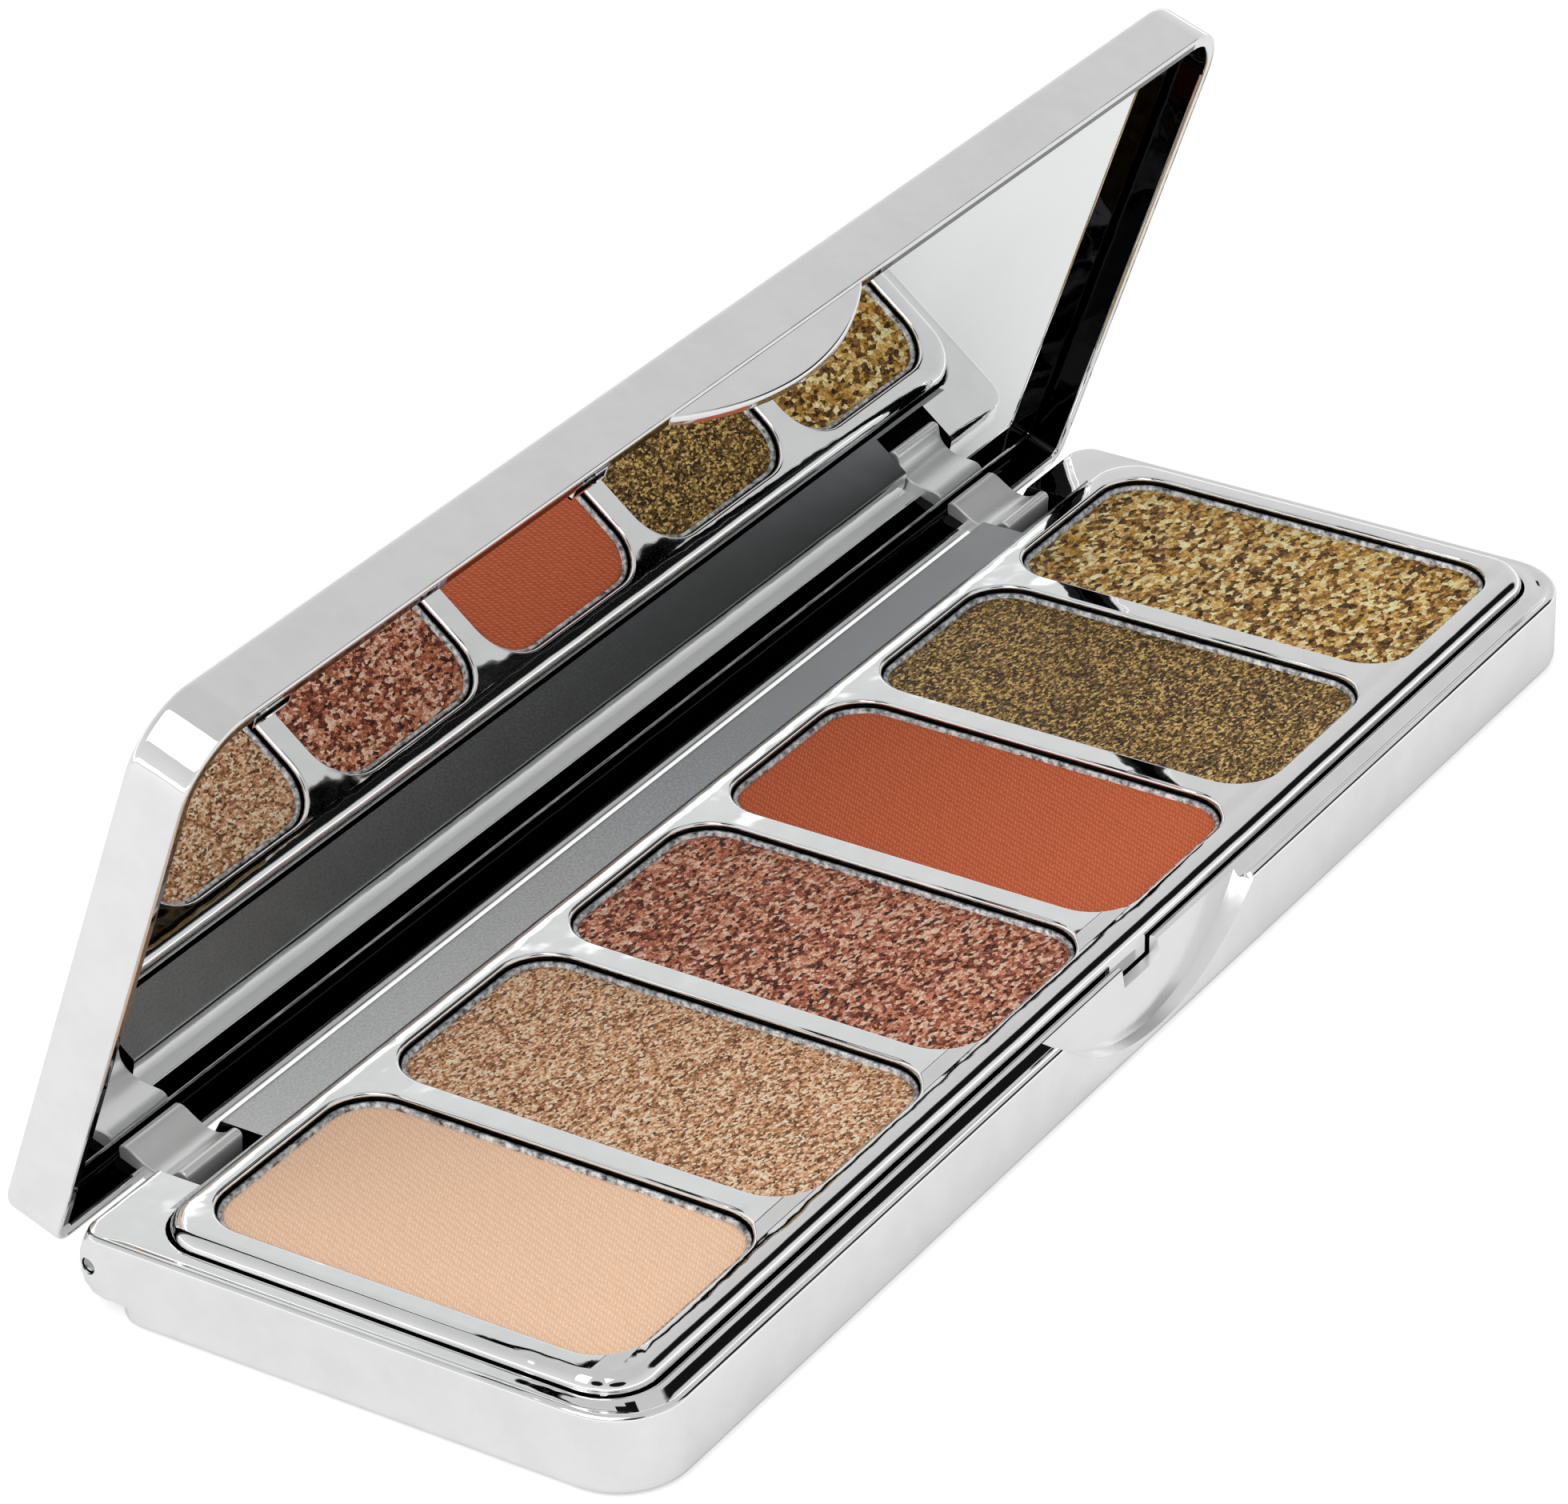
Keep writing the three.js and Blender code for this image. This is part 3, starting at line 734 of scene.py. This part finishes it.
def makePowder(index):
    low, high = boxOf(f"powder_{index + 1}")
    bm = bmesh.new()
    r = powder["radius"]
    profile = [(0.0, low.z), (0.0, high.z - 0.18), (0.05, high.z - 0.08), (0.2, high.z - 0.02),
               (0.5, high.z)]
    addLoft(bm, [outline(low.x, high.x, low.y, high.y, r, r, inset, z) for inset, z in profile])
    obj = makeObject(f"powder{index + 1}", bm, 60)
    evenShading(obj)
    return obj


powderSlots = ["peach", "champagne", "rose_copper", "burnt_orange", "olive_bronze", "antique_gold"]
for index in range(6):
    place(makePan(index), "base", panMetal, "aluminium_pan", f"pan_{index + 1}")
    place(makePowder(index), "base", powderMaterials[index],
          "powder_" + powderSlots[index], f"powder_{index + 1}")
print("pans and powders made")

lid = {
    "front": baseLow.y - 0.36, "rear": hingeY + 0.6, "rim": baseHigh.z + 0.3, "thickness": 5.44,
    "clearance": 0.01, "plate": 1.2, "wall": 1.3,
    "mirrorMargin": 1.6, "borderGap": 0.3, "borderWidth": 0.55, "borderHeight": 1.45,
    "edge": 0.9,
    "tabWidth": 28.4, "tabDrop": 3.8, "tabThickness": 1.1, "tabSetback": 0.3, "tabEdge": 0.42,
    "catchWidth": 5.0, "catchDrop": 1.3, "catchHeight": 0.8, "catchReach": 0.7,
    "lugWidth": 7.2, "knuckle": 1.7, "bore": 0.7,
    "clipX": (-66.0, -25.0), "clipWidth": 4.6, "clipDepth": 1.2, "clipBar": 0.22,
    # the rim's dark band inside its white line is painted shade, fading out towards +X
    "rimLine": 0.45, "rimPaintedShade": 0.85, "rimShadeFade": (18.0, 30.0),
}
lid["top"] = lid["rim"] + lid["thickness"]
mirror = {"thickness": 1.1, "adhesive": 0.2, "skin": 0.1, "radius": 3.0, "edge": 0.15}


def makeLidShell():
    x0, x1 = baseLow.x + lid["clearance"], baseHigh.x - lid["clearance"]
    y0, y1 = lid["front"], lid["rear"]
    front, rear = case["frontRadius"], case["rearRadius"]
    rim, top = lid["rim"], lid["top"]
    ceiling = top - lid["plate"]
    border = lid["wall"] + lid["mirrorMargin"] - lid["borderGap"]
    crown = ceiling - lid["borderHeight"]
    # (inset, height) from the back over its outer edge, round the rim, up the wall and over the border
    profile = [(3.0, top)]
    profile += [(inset, top - drop) for inset, drop in reversed(edgeArc(lid["edge"], 6))]
    profile += [
        (0.0, rim + 0.3), (0.05, rim + 0.12), (0.16, rim + 0.03), (0.3, rim),
        (lid["rimLine"], rim), (lid["rimLine"] + 0.05, rim + 0.05), (1.0, rim + 0.05),
        (1.15, rim + 0.04), (1.25, rim + 0.14), (lid["wall"], rim + 0.32),
        (lid["wall"] + 0.05, ceiling - 0.5), (lid["wall"] + 0.2, ceiling - 0.15),
        (border - lid["borderWidth"] - 0.02, ceiling - 0.1),
        (border - lid["borderWidth"] + 0.02, crown + 0.2),
        (border - lid["borderWidth"] + 0.1, crown + 0.06), (border - lid["borderWidth"] + 0.26, crown),
        (border - 0.26, crown), (border - 0.1, crown + 0.06), (border - 0.02, crown + 0.2),
        (border, ceiling),
    ]
    loops = [outline(x0, x1, y0, y1, front, rear, inset, z) for inset, z in profile]
    bm = bmesh.new()
    addLoft(bm, loops)
    shell = makeObject("lidShell", bm)

    # painted shade, near black, on the inner walls and the border except its crown at the rear, and a
    # painted dark band on the rim
    def finishAndPaintedLight(centre, normal):
        inset = depthIn(centre, x0, x1, y0, y1, front, rear)
        isCrown = centre.z < crown + 0.3 and centre.y > y1 - border - 0.3 and inset > lid["wall"] + 0.3
        paintedShadeInside = inset > lid["wall"] - 0.02 and centre.z < top - 0.5 and not isCrown
        onRim = centre.z < rim + 0.3 and inset > lid["rimLine"] and centre.y < y1 - 2
        if paintedShadeInside:
            return 1.0, 0.0, 0.0
        fade = 1 - shareOf(centre.x, *lid["rimShadeFade"])
        return lid["rimPaintedShade"] * fade if onRim else 0.0, 0.0, 0.0

    paintFinishAndPaintedLight(shell, finishAndPaintedLight)
    return shell


def makeTab():
    face = lid["front"] + lid["tabSetback"]
    bm = bmesh.new()
    addSlab(
        bm, crescentPoints(lid["tabWidth"], lid["tabDrop"], lid["rim"], 0.6, face),
        Vector((0, lid["tabThickness"], 0)),
    )
    tab = makeObject("tab", bm)
    softenEdges(tab, lid["tabEdge"], 3)
    bakeModifiers(tab)
    half, nose = lid["catchWidth"] / 2, face + lid["tabThickness"] + lid["catchReach"]
    middle, rise = lid["rim"] - lid["catchDrop"], lid["catchHeight"] / 2
    catch = blockCutter("catch", (-half, face + 0.5, middle - rise), (half, nose, middle + rise))
    softenEdges(catch, 0.2, 3)
    bakeModifiers(catch)
    return [tab, catch]


def makeClips():
    # two small bright frames on the inside edge of the front wall, where the mirror is clipped in
    near = lid["front"] + 0.75
    far, low, bar = near + lid["clipDepth"], lid["rim"] + 0.02, lid["clipBar"]
    bars = []
    for x in lid["clipX"]:
        left, right = x - lid["clipWidth"] / 2, x + lid["clipWidth"] / 2
        for x0, x1, y0, y1 in (
            (left, right, near, near + bar), (left, right, far - bar, far),
            (left, left + bar, near, far), (right - bar, right, near, far),
        ):
            bars.append(blockCutter("clip", (x0, y0, low), (x1, y1, low + 0.4)))
    return bars


def makeLug(side):
    # goose-neck: a knuckle round the pin and an arm that rises over a rounded bar, dips and curls
    # up at the lid's wall. Its section (y, z) is drawn from the hinge axis with the lid open.
    r, x = lid["knuckle"], side * lugCentreX - lid["lugWidth"] / 2
    barY, barZ, barRadius = -1.2, 2.45, 0.6
    section = [
        (barY + barRadius * cos(a), barZ + barRadius * sin(a))
        for a in (radians(200 - 20 * k) for k in range(9))
    ]
    section += [
        (-0.3, 2.42), (0.1, 2.22), (0.6, 2.08), (1.1, 2.08), (1.7, 2.22), (2.3, 2.5), (2.9, 2.88),
        (3.4, 3.22), (3.8, 3.46), (4.15, 3.55), (4.5, 3.5), (4.72, 3.3), (4.75, 3.0),
        (4.7, 2.1), (2.7, 1.2), (1.3, 0.6), (0.3, 0.0), (-1.2, 0.0), (-1.7, 1.0),
    ]
    turned = [
        Vector((x, hingeY + y * cos(restAngle) - z * sin(restAngle),
                hingeZ + y * sin(restAngle) + z * cos(restAngle))) for y, z in section
    ]
    width = Vector((lid["lugWidth"], 0, 0))
    bm = bmesh.new()
    addSlab(bm, turned, width)
    arm = makeObject("arm", bm)
    bm = bmesh.new()
    turn = [2 * pi * k / 40 for k in range(40)]
    outer = [Vector((x, hingeY + r * cos(a), hingeZ + r * sin(a))) for a in turn]
    bore = [Vector((x, hingeY + lid["bore"] * cos(a), hingeZ + lid["bore"] * sin(a))) for a in turn]
    loops = [bore, outer, [p + width for p in outer], [p + width for p in bore]]
    rings = addLoft(bm, loops, False, False)
    for k in range(len(turn)):
        n = (k + 1) % len(turn)
        bm.faces.new((rings[3][k], rings[3][n], rings[0][n], rings[0][k]))
    knuckle = makeObject("knuckle", bm)
    for obj in (arm, knuckle):
        softenEdges(obj, 0.18, 3)
        bakeModifiers(obj)
    return [arm, knuckle]


lidShell = makeLidShell()
lugs, fittings = makeLug(-1) + makeLug(1), makeTab() + makeClips()
# painted light: the lugs get paler, duller plating that lifts the shade they stand in
for fitting in lugs:
    paintFinishAndPaintedLight(fitting, paintedLight)
for fitting in fittings:
    paintFinishAndPaintedLight(fitting, bright)
joinInto(lidShell, lugs + fittings)
openLid(lidShell)
evenShading(lidShell)
place(lidShell, "lid", chrome, "chrome_plated_plastic", "lid_shell")


def makeMirror():
    inset = lid["wall"] + lid["mirrorMargin"]
    back = lid["top"] - lid["plate"] - mirror["adhesive"] - 2 * mirror["skin"]
    face = back - mirror["thickness"]
    x0, x1, y0, y1 = baseLow.x + inset, baseHigh.x - inset, lid["front"] + inset, lid["rear"] - inset
    r, edge = mirror["radius"], mirror["edge"]
    profile = [(edge, back), (0.0, back - edge), (0.0, face + edge), (edge, face)]
    bm = bmesh.new()
    addLoft(bm, [outline(x0, x1, y0, y1, r, r, inward, z) for inward, z in profile])
    obj = makeObject("mirrorGlass", bm, 20)
    openLid(obj)
    return obj


place(makeMirror(), "lid", mirrorGlass, "mirror_glass", "mirror")
print("lid and mirror made")

for name in ("hinge_pin_left", "hinge_pin_right"):
    frame["nodes"][name].data.materials.clear()
    frame["nodes"][name].data.materials.append(pinSteel)
for name in ["mirror_adhesive"] + [f"glue_pad_{k + 1}" for k in range(6)]:
    frame["nodes"][name].data.materials.clear()
    frame["nodes"][name].data.materials.append(adhesive)

studio = {
    "ambient": 0.95, "zenith": 0.78, "horizon": 1.05, "stripTop": 0.085, "strip": 1.1,
    # dark cards: direction, and the angles where the card is full and where it ends
    "cards": [((0.74, -0.42, 0.53), 12, 19), ((-0.5, -0.66, 0.5), 13, 15)],
    "keyPower": 4.6, "keySize": 1.0, "keyPosition": (-0.75, 0.05, 0.95),
    "floorSeen": 0.4, "floorMirrored": 0.02,
}


def makeStudio():
    world = bpy.data.worlds.new("studioWorld")
    bpy.context.scene.world = world
    world.use_nodes = True
    tree = world.node_tree
    tree.nodes.clear()
    rays = addNode(tree, "ShaderNodeLightPath")
    direction = addNode(tree, "ShaderNodeTexCoord").outputs["Generated"]
    height = addNode(tree, "ShaderNodeSeparateXYZ", links={0: direction}).outputs[2]
    sky = addNode(tree, "ShaderNodeMapRange", {
        "From Min": 0.0, "From Max": 0.8, "To Min": studio["horizon"], "To Max": studio["zenith"],
    }, {"Value": height})
    # a bright strip along the horizon puts a white line on every rounded edge
    strip = addNode(tree, "ShaderNodeMapRange", {
        "interpolation_type": "SMOOTHSTEP", "From Min": studio["stripTop"],
        "From Max": studio["stripTop"] / 2, "To Min": 0.0, "To Max": studio["strip"],
    }, {"Value": height})
    glossy = addNode(tree, "ShaderNodeMath", {"operation": "ADD"}, {0: sky.outputs[0], 1: strip.outputs[0]})
    for card, inner, outer in studio["cards"]:
        facing = addNode(tree, "ShaderNodeVectorMath", {
            "operation": "DOT_PRODUCT", 1: Vector(card).normalized(),
        }, {0: direction})
        dimmed = addNode(tree, "ShaderNodeMapRange", {
            "interpolation_type": "SMOOTHSTEP", "From Min": cos(radians(outer)),
            "From Max": cos(radians(inner)), "To Min": 1.0, "To Max": 0.01,
        }, {"Value": facing.outputs["Value"]})
        glossy = addNode(tree, "ShaderNodeMath", {"operation": "MULTIPLY"}, {
            0: glossy.outputs[0], 1: dimmed.outputs[0],
        })
    level = addNode(tree, "ShaderNodeMix", {"data_type": "FLOAT", "A": studio["ambient"]}, {
        "Factor": rays.outputs["Is Glossy Ray"], "B": glossy.outputs[0],
    })
    seen = addNode(tree, "ShaderNodeMix", {"data_type": "FLOAT", "B": 1.0}, {
        "Factor": rays.outputs["Is Camera Ray"], "A": level.outputs[0],
    })
    background = addNode(tree, "ShaderNodeBackground", links={"Strength": seen.outputs[0]})
    addNode(tree, "ShaderNodeOutputWorld", links={"Surface": background.outputs[0]})

    key = bpy.data.lights.new("softKey", "AREA")
    key.shape = "SQUARE"
    key.size = studio["keySize"]
    key.energy = studio["keyPower"]
    lamp = bpy.data.objects.new("softKey", key)
    lamp.location = studio["keyPosition"]
    lamp.rotation_euler = (-Vector(lamp.location)).to_track_quat("-Z", "Y").to_euler()
    bpy.context.scene.collection.objects.link(lamp)


def makeFloor():
    bm = bmesh.new()
    bmesh.ops.create_grid(bm, x_segments=1, y_segments=1, size=3.0)
    for vertex in bm.verts:
        vertex.co.z = -0.1 * mm   # just under the case
    floor = makeObject("floor", bm, scale=1.0)
    material = bpy.data.materials.new("paperSweep")
    material.use_nodes = True
    tree = material.node_tree
    tree.nodes.clear()
    rays = addNode(tree, "ShaderNodeLightPath")
    paper = addNode(tree, "ShaderNodeBsdfDiffuse", {"Color": hexColour("#f4f4f4")})
    mirrored = addNode(tree, "ShaderNodeMath", {
        "operation": "MULTIPLY", 1: studio["floorMirrored"],
    }, {0: rays.outputs["Is Glossy Ray"]})
    lift = addNode(tree, "ShaderNodeMath", {"operation": "MULTIPLY_ADD", 1: studio["floorSeen"]}, {
        0: rays.outputs["Is Camera Ray"], 2: mirrored.outputs[0],
    })
    glow = addNode(tree, "ShaderNodeEmission", links={"Strength": lift.outputs[0]})
    both = addNode(tree, "ShaderNodeAddShader", links={0: paper.outputs[0], 1: glow.outputs[0]})
    addNode(tree, "ShaderNodeOutputMaterial", links={"Surface": both.outputs[0]})
    floor.data.materials.append(material)


view = {
    "position": (-0.38469, -0.23707, 0.27639), "forward": (0.73097, 0.46978, -0.49496),
    "up": (0.42661, 0.25152, 0.86876), "lens": 147.75, "sensor": 36.0,
}


def makeCamera():
    data = bpy.data.cameras.new("camera")
    data.lens = view["lens"]
    data.sensor_width = view["sensor"]
    data.sensor_fit = "HORIZONTAL"
    data.clip_start = 0.01
    camera = bpy.data.objects.new("camera", data)
    back = -Vector(view["forward"]).normalized()
    right = Vector(view["up"]).cross(back).normalized()
    up = back.cross(right)
    camera.matrix_world = Matrix((
        (right.x, up.x, back.x, view["position"][0]),
        (right.y, up.y, back.y, view["position"][1]),
        (right.z, up.z, back.z, view["position"][2]),
        (0, 0, 0, 1),
    ))
    bpy.context.scene.collection.objects.link(camera)
    bpy.context.scene.camera = camera


makeStudio()
makeFloor()
makeCamera()
bpy.context.scene.view_settings.view_transform = "Standard"
print("studio made")
